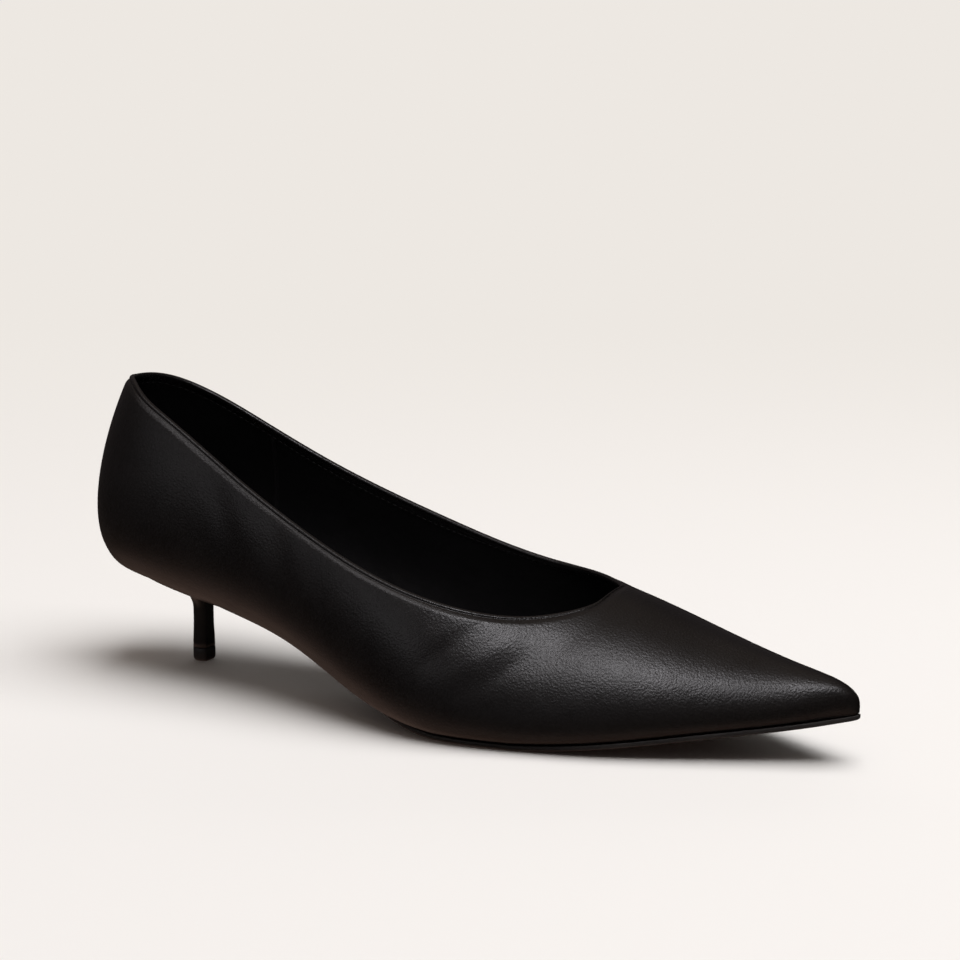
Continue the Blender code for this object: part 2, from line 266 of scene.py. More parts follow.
soft_box("sheet", 112.0, 74.0, 3.2, (3.0, 3.0), 4.45, (1.0, 1.0, 1.0), mirrored=False)
soft_box("vamp_box", 18.0, 54.0, 1.3, (0.45, 0.20), 13.0, (0.98, 0.96, 1.0))
soft_box("wide_box", -14.0, 61.0, 1.35, (1.25, 0.58), 1.7, (0.98, 0.96, 1.0))
soft_box("side_box", -28.0, 20.0, 1.4, (0.75, 0.36), 0.65, (0.98, 0.96, 1.0))


# The air: dim all round, so that the leather stays black, warmer from below, and darker to the
# right of the picture. Each stop is a height, from straight down to straight up, and its colour.
air = bpy.data.worlds.new("air")
air.use_nodes = True
air_nodes = air.node_tree
air_place = air_nodes.nodes.new("ShaderNodeTexCoord")
air_parts = air_nodes.nodes.new("ShaderNodeSeparateXYZ")
air_height = air_nodes.nodes.new("ShaderNodeMapRange")
air_height.inputs["From Min"].default_value = -1.0
air_ramp = air_nodes.nodes.new("ShaderNodeValToRGB")
air_stops = (
    (0.00, (0.20, 0.12, 0.09)),
    (0.14, (0.34, 0.22, 0.175)),
    (0.27, (0.08, 0.055, 0.045)),
    (0.40, (0.03, 0.024, 0.022)),
    (0.55, (0.06, 0.05, 0.05)),
    (0.80, (0.10, 0.085, 0.08)),
    (0.96, (0.30, 0.24, 0.20)),
)
while len(air_ramp.color_ramp.elements) < len(air_stops):
    air_ramp.color_ramp.elements.new(0.5)
for element, (position, colour) in zip(air_ramp.color_ramp.elements, air_stops):
    element.position = position
    element.color = (*colour, 1.0)
air_nodes.links.new(air_place.outputs["Generated"], air_parts.inputs[0])
air_nodes.links.new(air_parts.outputs["Z"], air_height.inputs["Value"])
air_nodes.links.new(air_height.outputs["Result"], air_ramp.inputs["Fac"])
air_right = air_nodes.nodes.new("ShaderNodeVectorMath")
air_right.operation = "DOT_PRODUCT"
air_right.inputs[1].default_value = (math.cos(AZIMUTH), math.sin(AZIMUTH), 0.0)
air_dim = air_nodes.nodes.new("ShaderNodeMapRange")
for socket, value in (("From Min", 0.1), ("From Max", 0.55), ("To Min", 1.0), ("To Max", 0.08)):
    air_dim.inputs[socket].default_value = value
air_nodes.links.new(air_place.outputs["Generated"], air_right.inputs[0])
air_nodes.links.new(air_right.outputs["Value"], air_dim.inputs["Value"])
air_nodes.links.new(air_dim.outputs["Result"], air_nodes.nodes["Background"].inputs["Strength"])
air_nodes.links.new(air_ramp.outputs["Color"], air_nodes.nodes["Background"].inputs["Color"])
bpy.context.scene.world = air


# The upper: smooth black calf, cut in one piece and pulled down over a long pointed last. Its edge
# is folded over the lining round the collar and turned in under the foot, where the sole hides it.
MM = 0.001
LENGTH = 266.0 * MM         # feather line, from the back of the heel to the point of the toe
THROAT = 186.2 * MM         # from the back of the heel to the front of the opening
MIDDLE = np.array([132.2, -3.9, 0.0]) * MM      # what the solids were moved by, to stand over the origin
LATERAL, MEDIAL = -1, 1

# One row for each cross section, in millimetres. x: from the back. feather: height of the edge where
# upper and sole meet. lateral, medial: its distance from the centre line. out, up: how the upper
# leaves that edge. belly, height: its fullest place. ridge, top: the line along the top of the last.
# crown: how broad the top is.
COLUMNS = ("x", "feather", "lateral", "medial", "out", "up", "belly", "height", "ridge", "top", "crown")
SECTIONS = MM * np.array([
    (0.0, 37.0, 0.0, 0.0, 0.0, 4.5, 0.0, 62.0, 0.0, 115.0, 0.0),
    (12.0, 33.5, 14.0, 13.5, 9.5, 3.5, 18.0, 55.0, 0.0, 114.0, 9.0),
    (30.0, 31.0, 17.5, 17.0, 12.0, 4.0, 20.5, 50.0, 0.0, 111.0, 14.0),
    (55.0, 25.6, 17.0, 16.5, 14.5, 4.5, 22.0, 49.0, 0.0, 103.0, 15.5),
    (85.0, 17.8, 19.5, 15.0, 16.0, 4.0, 22.0, 45.0, 1.0, 91.0, 19.5),
    (115.0, 7.0, 28.0, 16.0, 14.5, 3.5, 19.5, 38.0, 2.0, 80.0, 23.0),
    (145.0, 1.9, 36.0, 22.0, 10.0, 1.5, 12.0, 26.5, 3.0, 67.5, 26.0),
    (170.0, 1.9, 33.5, 28.5, 7.5, 1.2, 8.0, 17.0, 3.5, 51.0, 25.5),
    (195.0, 4.2, 27.0, 30.0, 5.5, 1.0, 7.0, 14.0, 4.0, 42.1, 22.5),
    (220.0, 8.0, 17.0, 26.0, 4.0, 1.0, 5.5, 14.5, 5.0, 34.4, 17.0),
    (245.0, 11.7, 5.0, 16.5, 2.7, 1.0, 4.0, 15.5, 5.5, 28.0, 9.0),
    (259.0, 14.2, -2.0, 10.2, 1.8, 1.8, 2.5, 16.5, 5.3, 24.9, 5.0),
    (266.0, 16.0, -5.5, 5.5, 0.0, 2.0, 0.0, 17.0, 5.5, 18.8, 0.0),
])
HEEL_CURVE = MM * np.array([3.0, -3.0, -9.0, 11.0, 25.0])
HEEL_CURVE_END = 70.0 * MM
TREAD = 1.9 * MM            # the feather line is never lower than this

# The topline. way: from the back of the heel to the throat. lateral, medial: the share of the cross
# section's line, from feather to ridge, that the upper covers there.
TOPLINE = np.array([
    (0.00 / 7, 0.708, 0.708),
    (0.50 / 7, 0.722, 0.713),
    (1.00 / 7, 0.725, 0.711),
    (1.50 / 7, 0.707, 0.697),
    (2.00 / 7, 0.684, 0.672),
    (3.00 / 7, 0.605, 0.607),
    (4.00 / 7, 0.573, 0.600),
    (5.00 / 7, 0.622, 0.663),
    (6.00 / 7, 0.775, 0.867),
    (6.50 / 7, 0.855, 0.930),
    (6.75 / 7, 0.905, 0.955),
    (7.00 / 7, 1.000, 1.000),
])


def natural_spline(at, values, where):
    """Values at the places where, on the smooth natural cubic curve through the rows of values."""
    count, step = len(at), np.diff(at)
    matrix, right = np.eye(count), np.zeros(values.shape)
    for i in range(1, count - 1):
        matrix[i, i - 1:i + 2] = step[i - 1], 2 * (step[i - 1] + step[i]), step[i]
        right[i] = 6 * ((values[i + 1] - values[i]) / step[i] - (values[i] - values[i - 1]) / step[i - 1])
    curl = np.linalg.solve(matrix, right)
    k = np.clip(np.searchsorted(at, where) - 1, 0, count - 2)
    wide = step[k][:, None]
    left = (at[k + 1] - where)[:, None] / wide
    near = 1 - left
    curve = (left ** 3 - left) * curl[k] + (near ** 3 - near) * curl[k + 1]
    return left * values[k] + near * values[k + 1] + curve * wide ** 2 / 6


def way_at(x):
    """The way along the last, 0 at the back and 1 at the toe: the angle of a half circle over x."""
    return np.arccos(np.clip(1 - 2 * np.asarray(x) / LENGTH, -1, 1)) / math.pi


def sizes_at(way):
    """The named sizes of the cross sections at each way."""
    sizes = dict(zip(COLUMNS, natural_spline(way_at(SECTIONS[:, 0]), SECTIONS, way).T))
    sizes["x"] = LENGTH * (1 - np.cos(math.pi * way)) / 2
    sizes["feather"] = np.maximum(sizes["feather"], TREAD)
    return sizes


def last_face(way, share, side):
    """The lasted face: at each way a Bezier curve of degree four, from the feather line to the ridge.

    share has a row for each way. The curve's five places come from the cross section's named sizes.
    """
    s = sizes_at(way)
    edge = side * (s["medial"] if side == MEDIAL else s["lateral"])
    places = (
        (edge, s["feather"]),
        (edge + side * s["out"], s["feather"] + s["up"]),
        (edge + side * s["belly"], s["height"]),
        (s["ridge"] + side * s["crown"], s["top"]),
        (s["ridge"], s["top"]),
    )
    fade = np.clip(1 - s["x"] / HEEL_CURVE_END, 0, 1) ** 2
    points = np.zeros(share.shape + (3,))
    for k, (y, z) in enumerate(places):
        weight = math.comb(4, k) * share ** k * (1 - share) ** (4 - k)
        place = np.stack([s["x"] + fade * HEEL_CURVE[k], y, z], axis=-1)
        points += weight[:, :, None] * place[:, None, :]
    return points


def unit(vectors):
    """Vectors made one long."""
    return vectors / np.maximum(np.linalg.norm(vectors, axis=-1, keepdims=True), 1e-12)


def face_normals(way, share, side):
    """Normals of the lasted face, outwards: the cross product of its slopes along and up."""
    small = 2e-4
    low, high = np.clip(way - small, 0, 1), np.clip(way + small, 0, 1)
    along = last_face(high, share, side) - last_face(low, share, side)
    up = last_face(way, share + small, side) - last_face(way, share - small, side)
    return -side * unit(np.cross(along, up))


HEEL_STEPS, TOE_STEPS = 230, 120
BEAD = 0.9 * MM             # radius of the folded edge
BEAD_STEPS = 8
EDGE_REACH = 9.0 * MM       # how far down the face the fold draws it in
ROLL_IN = 0.48 * MM         # how far the face rolls in as it comes up to the fold
ROLL_START, ROLL_REACH = 0.6 * MM, 2.5 * MM     # where the roll is spent, and how far it runs on
DRAWN_HEEL, DRAWN_WAIST = 0.95 * MM, 1.35 * MM      # how far the leather is drawn down over the edge
DRAWN_FROM, DRAWN_OVER = 45 * MM, 20 * MM   # where the waist's drawing down takes over from the heel's
DRAWN_REACH = 6.0 * MM      # how high the drawing down is felt
JOINT_FROM, JOINT_OVER = 105 * MM, 40 * MM  # where the sole's edge comes out from under the leather
PRESSED = 0.17 * MM         # depth of the line pressed in under the fold
PRESSED_AT, PRESSED_WIDE = 0.75 * MM, 0.36 * MM     # its distance from the edge, and its half width
INNER_FROM, INNER_OVER = -2 * MM, 12 * MM   # where the roll fades towards the inner side
INNER_FADE = 0.7            # the share of the roll that is lost there
EVEN = 0.35                 # the share of the steps towards the toe that are evenly spaced

turning = np.linspace(0.0, 1.0, HEEL_STEPS + 1)
opened = way_at(THROAT * (1 - np.cos(math.pi * turning)) / 2)
closing = np.linspace(0.0, 1.0, TOE_STEPS + 1)[1:]
closed = way_at(THROAT) + (1 - way_at(THROAT)) * (EVEN * closing + (1 - EVEN) * closing ** 2)
way = np.concatenate([opened, closed])
covered = np.minimum(natural_spline(TOPLINE[:, 0], TOPLINE[:, 1:], turning), 1.0)


def eased(part):
    """0 to 1 along an S, for a part that runs from 0 to 1."""
    part = np.clip(part, 0, 1)
    return part * part * (3 - 2 * part)


def shown_from(x):
    """1 behind the joint, where the leather hides the sole's edge, and 0 where the edge shows."""
    return 1 - eased((x - JOINT_FROM) / JOINT_OVER)


def drawn_down(x):
    """How far the leather's lower edge is drawn down over the seat and the sole's waist, at each x."""
    waist = eased((x - DRAWN_FROM) / DRAWN_OVER)
    return (DRAWN_HEEL + (DRAWN_WAIST - DRAWN_HEEL) * waist) * shown_from(x)


def from_edge(points, edge):
    """How far each point is from the topline's nearest point: the root of a squared, plus b squared,
    less twice a times b."""
    flat = points.reshape(-1, 3)
    square = (flat ** 2).sum(1)[:, None] + (edge ** 2).sum(1)[None, :] - 2 * flat @ edge.T
    return np.sqrt(np.maximum(square.min(axis=1), 0)).reshape(points.shape[:2])


# Soft creases of the worn-in leather, listed one by one. x, up: the middle, from the back of the heel and
# as a share from feather to ridge. run, rise: where the crease points. long, wide: its half sizes.
# deep: how far it sinks, or stands up where it is negative. Sizes in millimetres.
CREASE_COLUMNS = ("x", "height", "run", "rise", "long", "wide", "deep")
LATERAL_CREASES = np.array([
    (62.0, 58.0, 0.55, -1.0, 16.0, 4.0, 0.25),
    (74.0, 50.0, 0.45, -1.0, 18.0, 4.5, -0.22),
    (86.0, 48.0, 0.35, -1.0, 16.0, 4.0, 0.22),
    (99.0, 36.0, 0.60, -1.0, 14.0, 4.0, -0.16),
    (150.0, 30.0, 0.90, 0.75, 12.0, 3.0, 0.22),
    (160.0, 27.0, 0.90, 0.70, 14.0, 3.0, -0.20),
    (169.0, 25.0, 0.90, 0.65, 12.0, 3.0, 0.22),
    (181.0, 30.0, 0.80, 0.80, 12.0, 3.0, 0.16),
])


def creased(points, normals, creases):
    """Points moved along their normals by the creases: each a ridge or trough, bell-shaped both ways."""
    moved = np.zeros(points.shape[:2])
    for row in creases:
        c = dict(zip(CREASE_COLUMNS, row))
        run = np.array([c["run"], c["rise"]]) / math.hypot(c["run"], c["rise"])
        dx, dz = points[:, :, 0] - c["x"] * MM, points[:, :, 2] - c["height"] * MM
        along = (dx * run[0] + dz * run[1]) / (c["long"] * MM)
        off = (dz * run[0] - dx * run[1]) / (c["wide"] * MM)
        moved -= c["deep"] * MM * np.exp(-along ** 2 - off ** 2)
    return points + moved[:, :, None] * normals


WALL = 1.8 * MM
LEATHER = 1.0 * MM          # the outer leather, and the lining fills the rest of the wall
TURN_IN = 2.4 * MM          # how far the leather is folded in over the lining
STEP = 0.3 * MM             # over which the fold's cut edge falls away
TIP_WALL, TIP_TAPER = 0.45, 4.0 * MM    # the wall thins at the point of the toe


def upright(normals):
    """The normals with those at the back of the heel and the point of the toe turned straight out."""
    normals = normals.copy()
    normals[-1] = normals[-2]
    normals[[0, -1], :, 1] = 0
    return unit(normals)


def ridge_normals():
    """Along the ridge both sides share one normal: the mean of theirs, with no lean to either side."""
    ridge = np.ones((len(way), 1))
    both = upright(face_normals(way, ridge, LATERAL)) + upright(face_normals(way, ridge, MEDIAL))
    return unit(both)[:, 0]


def topline_points():
    """Both toplines, from the back of the heel to the throat."""
    lines = [
        last_face(way[:HEEL_STEPS + 1], covered[:, column:column + 1], side)[:, 0]
        for column, side in enumerate((LATERAL, MEDIAL))
    ]
    return np.concatenate(lines)


RIDGE = ridge_normals()
TOPLINE_POINTS = topline_points()


class Side:
    """One side of the upper: its topline, and its faces at any depth in the wall."""

    def __init__(self, column, side):
        self.side = side
        self.top = np.concatenate([covered[:, column], np.ones(TOE_STEPS)])
        self.edge = last_face(way, self.top[:, None], side)[:, 0]
        self.edge_normal = upright(face_normals(way, self.top[:, None], side))[:, 0]
        near = last_face(way, self.top[:, None] - 0.01, side)[:, 0]
        self.speed = np.linalg.norm(self.edge - near, axis=-1) / 0.01
        self.speed[-1] = 1e-6
        run = unit(np.gradient(self.edge[:HEEL_STEPS + 1], axis=0))
        run[0] = run[0] * (0, 1, 0)
        self.off = unit(np.cross(self.edge_normal[:HEEL_STEPS + 1], unit(run)) * -side)
        self.off[-1] = unit(self.off[-1] * (1, 0, 1))

    def face(self, share, depth_at):
        """Points of the face, their distance from the topline and their rise over the feather line.

        Each point of the lasted face moves in along its normal by depth_at(distance), and near the
        topline it is drawn down by the radius of the folded edge.
        """
        points = last_face(way, share, self.side)
        normals = upright(face_normals(way, share, self.side))
        if share.shape[1] > 1:
            normals[HEEL_STEPS:, -1] = RIDGE[HEEL_STEPS:]
        distance = from_edge(points, TOPLINE_POINTS)
        thin = np.clip(TIP_WALL + (LENGTH - points[:, :, 0]) / TIP_TAPER, 0, 1)
        inner_side = eased((points[:, :, 1] - INNER_FROM) / INNER_OVER)
        rolled = ROLL_IN * (1 - INNER_FADE * inner_side) * (1 - eased((distance - ROLL_START) / ROLL_REACH))
        rolled += PRESSED * np.exp(-((distance - PRESSED_AT) / PRESSED_WIDE) ** 2)
        points = points - rolled[:, :, None] * normals
        if self.side == LATERAL:
            points = creased(points, normals * eased((1 - share) * 5)[:, :, None], LATERAL_CREASES)
        pull = np.clip(1 - distance / EDGE_REACH, 0, 1) ** 2 * BEAD
        ahead = np.repeat(self.off[-1:], TOE_STEPS, axis=0)
        off = np.concatenate([self.off, ahead])[:, None, :]
        rise = points[:, :, 2] - points[:, :1, 2]
        points[:, :, 2] -= drawn_down(points[:, :, 0]) * (1 - eased(rise / DRAWN_REACH))
        points = points - pull[:, :, None] * off - (depth_at(distance) * thin)[:, :, None] * normals
        return points, distance, rise

    def bead(self, outer, inner):
        """The folded edge: a half circle from the outer face's edge, over the wall, to the inner one's."""
        angle = np.linspace(0.0, math.pi, BEAD_STEPS + 1)[None, :, None]
        start, end = outer[:HEEL_STEPS + 1, -1:], inner[:HEEL_STEPS + 1, -1:]
        over = BEAD * self.off[:, None] * np.sin(angle)
        return (start + end) / 2 + (start - end) / 2 * np.cos(angle) + over

    def inner_share(self, near, count):
        """Shares for rows that start at the given distances from the topline, then run evenly down."""
        down = np.minimum(near[None, :] / self.speed[:, None], 0.3 * near / near[-1])
        last = self.top[:, None] - down
        rest = last[:, -1:] * np.linspace(1.0, 0.0, count + 1)[None, 1:]
        return np.concatenate([last, rest], axis=1)[:, ::-1]


def add_grid(grids, numbers, points, distance, rise, flip):
    """Keeps a grid and its numbers, turned over where flip is true."""
    order = slice(None, None, -1) if flip else slice(None)
    grids.append(points[:, order])
    numbers["edge"].append(distance[:, order])
    numbers["rise"].append(rise[:, order])


sides = (Side(0, LATERAL), Side(1, MEDIAL))


def shell(outer_depth, inner_depth, outer_share, inner_share, edge_strip):
    """The grids of a closed shell in the wall, and the numbers that its finish reads.

    outer_depth and inner_depth give the depth of its two faces by the distance from the topline,
    outer_share and inner_share their rows, and edge_strip what joins them along the topline.
    """
    grids, numbers = [], {"edge": [], "rise": []}
    faces = [
        (part.face(outer_share(part), outer_depth), part.face(inner_share(part), inner_depth))
        for part in sides
    ]
    for first, second in zip(*faces):
        for seam in ((slice(HEEL_STEPS, None), -1), (0, slice(None)), (-1, slice(None))):
            first[0][seam] = second[0][seam] = (first[0][seam] + second[0][seam]) / 2
    for part, (outer, inner) in zip(sides, faces):
        flip = part.side == MEDIAL
        add_grid(grids, numbers, *outer, flip)
        add_grid(grids, numbers, *inner, not flip)
        bottom = np.stack([inner[0][:, 0], outer[0][:, 0]], axis=1)
        flat = np.zeros(bottom.shape[:2])
        add_grid(grids, numbers, bottom, flat + 1.0, flat, flip)
        strip = edge_strip(part, outer[0], inner[0])
        flat = np.zeros(strip.shape[:2])
        add_grid(grids, numbers, strip, flat, flat + 1.0, flip)
    return grids, numbers


FINE_ROWS = (0.0, 0.2, 0.4, 0.6, 0.8, 1.0, 1.2, 1.4, 1.65, 1.9, 2.2, 2.6, 3.0, 3.5, 4.1, 4.8)


def leather_depth(distance):
    """The inner face of the leather: the whole wall at the fold, and only the leather below it."""
    return WALL - (WALL - LEATHER) * eased((distance - TURN_IN) / STEP)


leather_grids, leather_numbers = shell(
    lambda distance: np.zeros_like(distance),
    leather_depth,
    lambda part: part.inner_share(np.array(FINE_ROWS) * MM, 70),
    lambda part: part.inner_share(np.array([0.0, 0.8, 1.6, 2.3, 2.45, 2.6, 2.8, 4.0]) * MM, 26),
    lambda part, outer, inner: part.bead(outer, inner),
)
upper_mesh = smooth_mesh("upper_leather", [grid - MIDDLE for grid in leather_grids], leather_numbers)

leather = Finish("black_calf", IOR=1.45)
cloudy = leather.noise(38.0, 3.0, 0.55)
streaky = leather.noise(16.0, 2.0, 0.5, (1.0, 1.0, 2.6))
pores = leather.node("ShaderNodeTexVoronoi", {}, {"Vector": leather.place(), "Scale": 1400.0})
pebbles = leather.noise(1500.0, 2.0, 0.6)
hide = leather.noise(160.0, 3.0, 0.6)
rise = leather.attribute("rise")
low = 1.0 - rise.eased(0.001, 0.012)
near_edge = 1.0 - leather.attribute("edge").eased(0.0008, 0.004)
dyed = leather.mix(cloudy.eased(0.35, 0.7), (0.0034, 0.0029, 0.0031, 1.0), (0.0056, 0.0048, 0.0050, 1.0))
# Painted warm bounce: near the feather line the leather is lightened to a warm brown, fading out by about
# 12 mm up, standing for floor light reflected up under the shoe.
painted_warm_bounce = leather.mix(low * 0.6, dyed, (0.0085, 0.0062, 0.0048, 1.0))
leather.drive(Base_Color=leather.mix((pebbles - 0.45) * 0.9, painted_warm_bounce, (0.010, 0.0092, 0.0096, 1.0)))
leather.drive(Roughness=0.33 + (streaky - 0.5) * 0.16 + (hide - 0.5) * 0.14 - near_edge * 0.05)
grain = leather.bump(pebbles * 0.8 + pores * 0.5, 0.00010, 0.8)
drape = leather.bump(hide, 0.00018, 0.3, grain)
leather.drive(Normal=leather.bump(leather.noise(30.0, 1.0), 0.0011, 0.35, drape))
upper = add_piece("upper_leather", upper_mesh, leather, "upper_leather", ["upper"])


# The lining: thin matt black sheepskin, glued inside the leather and trimmed just under its folded
# edge. The heel's part is a piece of its own, joined to the front part by an upright seam.
LINING_SEAM = 47.0 * MM     # from the back of the heel
LINING_LIFT = 0.15 * MM     # how far the lining's face lies below the fold's

lining_grids, lining_numbers = shell(
    lambda distance: np.full_like(distance, LEATHER + 0.08 * MM),
    lambda distance: np.full_like(distance, WALL - LINING_LIFT),
    lambda part: part.inner_share(np.array([2.5, 3.2, 4.5]) * MM, 26),
    lambda part: part.inner_share(np.array([2.5, 3.2, 4.5]) * MM, 56),
    lambda part, outer, inner: np.stack([outer[:HEEL_STEPS + 1, -1], inner[:HEEL_STEPS + 1, -1]], axis=1),
)
lining_mesh = smooth_mesh("lining", [grid - MIDDLE for grid in lining_grids], lining_numbers)

lining_finish = Finish("black_sheepskin", IOR=1.4, Specular_IOR_Level=0.3)
where = lining_finish.node("ShaderNodeSeparateXYZ", {}, {"Vector": lining_finish.place()})
lean = lining_finish.node("ShaderNodeSeparateXYZ", {}, {"Vector": lining_finish.place()}, 2)
seam = where - (LINING_SEAM - MIDDLE[0]) - (lean - 0.06) * 0.1
off_seam = seam.math("ABSOLUTE")
groove = off_seam.eased(0.0, 0.0009)
nap = lining_finish.noise(900.0, 3.0, 0.65)
soft = lining_finish.noise(45.0, 3.0, 0.6)
lining_finish.drive(
    Base_Color=lining_finish.mix(
        1.0 - off_seam.eased(0.0004, 0.0012),
        lining_finish.mix(soft, (0.0022, 0.0020, 0.0024, 1.0), (0.0052, 0.0047, 0.0058, 1.0)),
        (0.014, 0.013, 0.016, 1.0),
    ),
    Roughness=0.62 + (soft - 0.5) * 0.2,
    Normal=lining_finish.bump(
        groove, 0.0005, 0.8, lining_finish.bump(soft, 0.0016, 0.5, lining_finish.bump(nap, 0.0001, 0.5))
    ),
)
lining = add_piece("lining", lining_mesh, lining_finish, "upper_leather", ())


# Stitching: one row of fine black thread through the fold and the lining, all round the collar.
STITCH_FROM_EDGE = 1.7 * MM
STITCH_LENGTH, STITCH_PITCH = 1.7 * MM, 2.3 * MM
THREAD = 0.2 * MM


def stitch_line():
    """Points along the row, evenly apart, with the wall's normal there: right round the opening."""
    lines = []
    for part in sides:
        share = part.inner_share(np.array([STITCH_FROM_EDGE]), 1)[:, -1:]
        points = part.face(share, leather_depth)[0]
        normals = upright(face_normals(way, share, part.side))
        lines.append((points[:HEEL_STEPS + 1, 0], normals[:HEEL_STEPS + 1, 0]))
    points = np.concatenate([lines[0][0][::-1], lines[1][0][1:]])
    normals = np.concatenate([lines[0][1][::-1], lines[1][1][1:]])
    far = np.concatenate([[0], np.cumsum(np.linalg.norm(np.diff(points, axis=0), axis=1))])
    at = np.arange(STITCH_PITCH, far[-1] - STITCH_PITCH, STITCH_PITCH)

    def sample(when, table):
        """The table's columns at those distances along the row."""
        return np.stack([np.interp(when, far, column) for column in table.T], axis=-1)

    return sample(at, points), sample(at + 1e-5, points), sample(at, normals)


def stitches():
    """Each stitch is a bent bead: an ellipse's half length along the row, its ends sunk in the wall."""
    middle, ahead, normal = stitch_line()
    run = unit(ahead - middle)
    over = unit(np.cross(normal, run))
    turns, steps = 8, 7
    theta = np.linspace(0, 2 * math.pi, turns + 1)
    t = -np.cos(np.linspace(0, math.pi, steps))
    swell = np.sqrt(np.maximum(1 - t ** 2, 0)) * THREAD
    along = t * STITCH_LENGTH / 2
    grids = []
    for m, r, o, n in zip(middle, run, over, -unit(normal)):
        line = m + along[:, None] * r + (0.35 * swell)[:, None] * n - 0.05 * MM * n
        ring = np.cos(theta)[None, :, None] * o + 0.7 * np.sin(theta)[None, :, None] * n
        grids.append(line[:, None] + swell[:, None, None] * ring - MIDDLE)
    return grids


thread = Finish(
    "black_thread",
    Base_Color=(0.0035, 0.0033, 0.0036, 1.0),
    Roughness=0.7,
    Specular_IOR_Level=0.25,
)
twist = thread.noise(3200.0, 1.0)
thread.drive(Normal=thread.bump(twist, 0.00005, 0.5))
stitching = add_piece("stitching", smooth_mesh("stitching", stitches()), thread, "upper_leather")


# The insole: a board and its sock of the lining's leather, which fills the bottom of the shoe. It is
# as wide as the opening below, and spreads over the turned-in edge of the upper.
SOLE = 1.6 * MM
INSOLE = 2.2 * MM
GAP = 0.3 * MM
LAP = 1.0 * MM
TUCKED = 1.5 * MM           # how far the seat and the sole's waist stand back from the leather's edge
TIP_LAP, LAP_TAPER = 0.3, 12.0 * MM
INSET = 1.3 * MM
SIDE_GAP = 0.6 * MM
INSOLE_END = 9.0 * MM
SEAT_LENGTH = 70.0 * MM


def feather_line(way, side, spread, height=0.0):
    """The feather line moved outwards by spread, square to itself in plan, and lifted by height."""
    small = 1e-4
    zero = np.zeros((len(way), 1))
    low, high = np.clip(way - small, 0, 1), np.clip(way + small, 0, 1)
    along = (last_face(high, zero, side) - last_face(low, zero, side))[:, 0]
    length = np.hypot(along[:, 0], along[:, 1])
    line = last_face(way, zero, side)[:, 0]
    line[:, 0] -= side * spread * along[:, 1] / length
    line[:, 1] += side * spread * along[:, 0] / length
    line[:, 2] += height
    return line


def face_at_height(way, side, depth, height):
    """Where the face at that depth reaches height above the feather line, by the rows on either side."""
    share = np.tile(np.linspace(0.0, 0.6, 121), (len(way), 1))
    points = last_face(way, share, side) - depth * face_normals(way, share, side)
    level = points[:, 0, 2] * 0 + sizes_at(way)["feather"] + height
    above = np.argmax(points[:, :, 2] >= level[:, None], axis=1)
    below = np.maximum(above - 1, 0)
    pick = np.arange(len(way))
    a, b = points[pick, below], points[pick, above]
    part = (level - a[:, 2]) / np.maximum(b[:, 2] - a[:, 2], 1e-9)
    line = a + np.clip(part, 0, 1)[:, None] * (b - a)
    line[:, 2] = level
    return line


def plate_rings(halves):
    """Rings round a plate: up its lateral lines and down its medial ones, and back to the start."""
    return np.stack(halves[0] + halves[1][::-1] + halves[0][:1], axis=1)


def folded_flat(ring):
    """A plate's ring with its lateral and medial lines both moved to halfway between them."""
    flat = (ring[:-1] + ring[-2::-1]) / 2
    return np.concatenate([flat, flat[:1]])


PLATE_STEPS = 160
insole_way = np.linspace(0.0, way_at(LENGTH - INSOLE_END), PLATE_STEPS + 1)
halves = []
for side in (LATERAL, MEDIAL):
    lines = [feather_line(insole_way, side, -INSET, height) for height in (GAP, WALL + 2 * GAP)]
    for part in (0.3, 0.6, 0.85):
        lines.append(face_at_height(insole_way, side, WALL + SIDE_GAP, WALL + 2 * GAP + INSOLE * part))
    rim = lines[-1]
    middle = np.stack([rim[:, 0], np.full(len(rim), 0.0), rim[:, 2] + 0.15 * INSOLE], axis=-1)
    middle[:, 1] = sizes_at(insole_way)["medial"] / 2 - sizes_at(insole_way)["lateral"] / 2
    for part in (0.04, 0.12, 0.4, 0.7):
        inner = rim + part * (middle - rim)
        inner[:, 2] = rim[:, 2] + 0.15 * INSOLE * math.sqrt(min(part / 0.12, 1))
        lines.append(inner)
    halves.append(lines)
rings = plate_rings(halves)
rings[0] = folded_flat(rings[0])
rings = np.concatenate([rings, folded_flat(rings[-1])[None]])
sock_mesh = smooth_mesh("sock", [rings - MIDDLE])
sock = Finish("sock_leather", IOR=1.4)
worn = sock.noise(40.0, 3.0, 0.6)
sock.drive(
    Base_Color=sock.mix(worn, (0.009, 0.0085, 0.0095, 1.0), (0.016, 0.0145, 0.016, 1.0)),
    Roughness=0.58 + (worn - 0.5) * 0.2,
    Normal=sock.bump(sock.noise(900.0, 3.0, 0.6), 0.0001, 0.5),
)
insole = add_piece("sock_and_board", sock_mesh, sock, "sock", ["insole"])


# The outsole: thin black leather, cemented under the turned-in upper from the heel's seat to the toe,
# with its trimmed edge stained and showing as a fine line all round.
outsole_way = np.linspace(way_at(SEAT_LENGTH + GAP), 1.0, PLATE_STEPS + 1)
from_tip = LENGTH - sizes_at(outsole_way)["x"]
lap = LAP * (TIP_LAP + (1 - TIP_LAP) * eased(from_tip / LAP_TAPER))
lap = lap - (LAP + TUCKED) * shown_from(sizes_at(outsole_way)["x"])
halves = []
for side in (LATERAL, MEDIAL):
    lines = []
    for turned in np.linspace(0.0, math.pi / 2, 5):
        edge = 0.5 * MM
        spread = lap - edge * (1 - math.sin(turned))
        lines.append(feather_line(outsole_way, side, spread, -GAP - SOLE + edge * (1 - math.cos(turned))))
    lines.append(feather_line(outsole_way, side, lap, -GAP - 0.15 * MM))
    lines.append(feather_line(outsole_way, side, lap - 0.15 * MM, -GAP))
    halves.append(lines)
rings = plate_rings(halves)
rings[-1] = folded_flat(rings[-1])
rings = np.concatenate([folded_flat(rings[0])[None], rings])
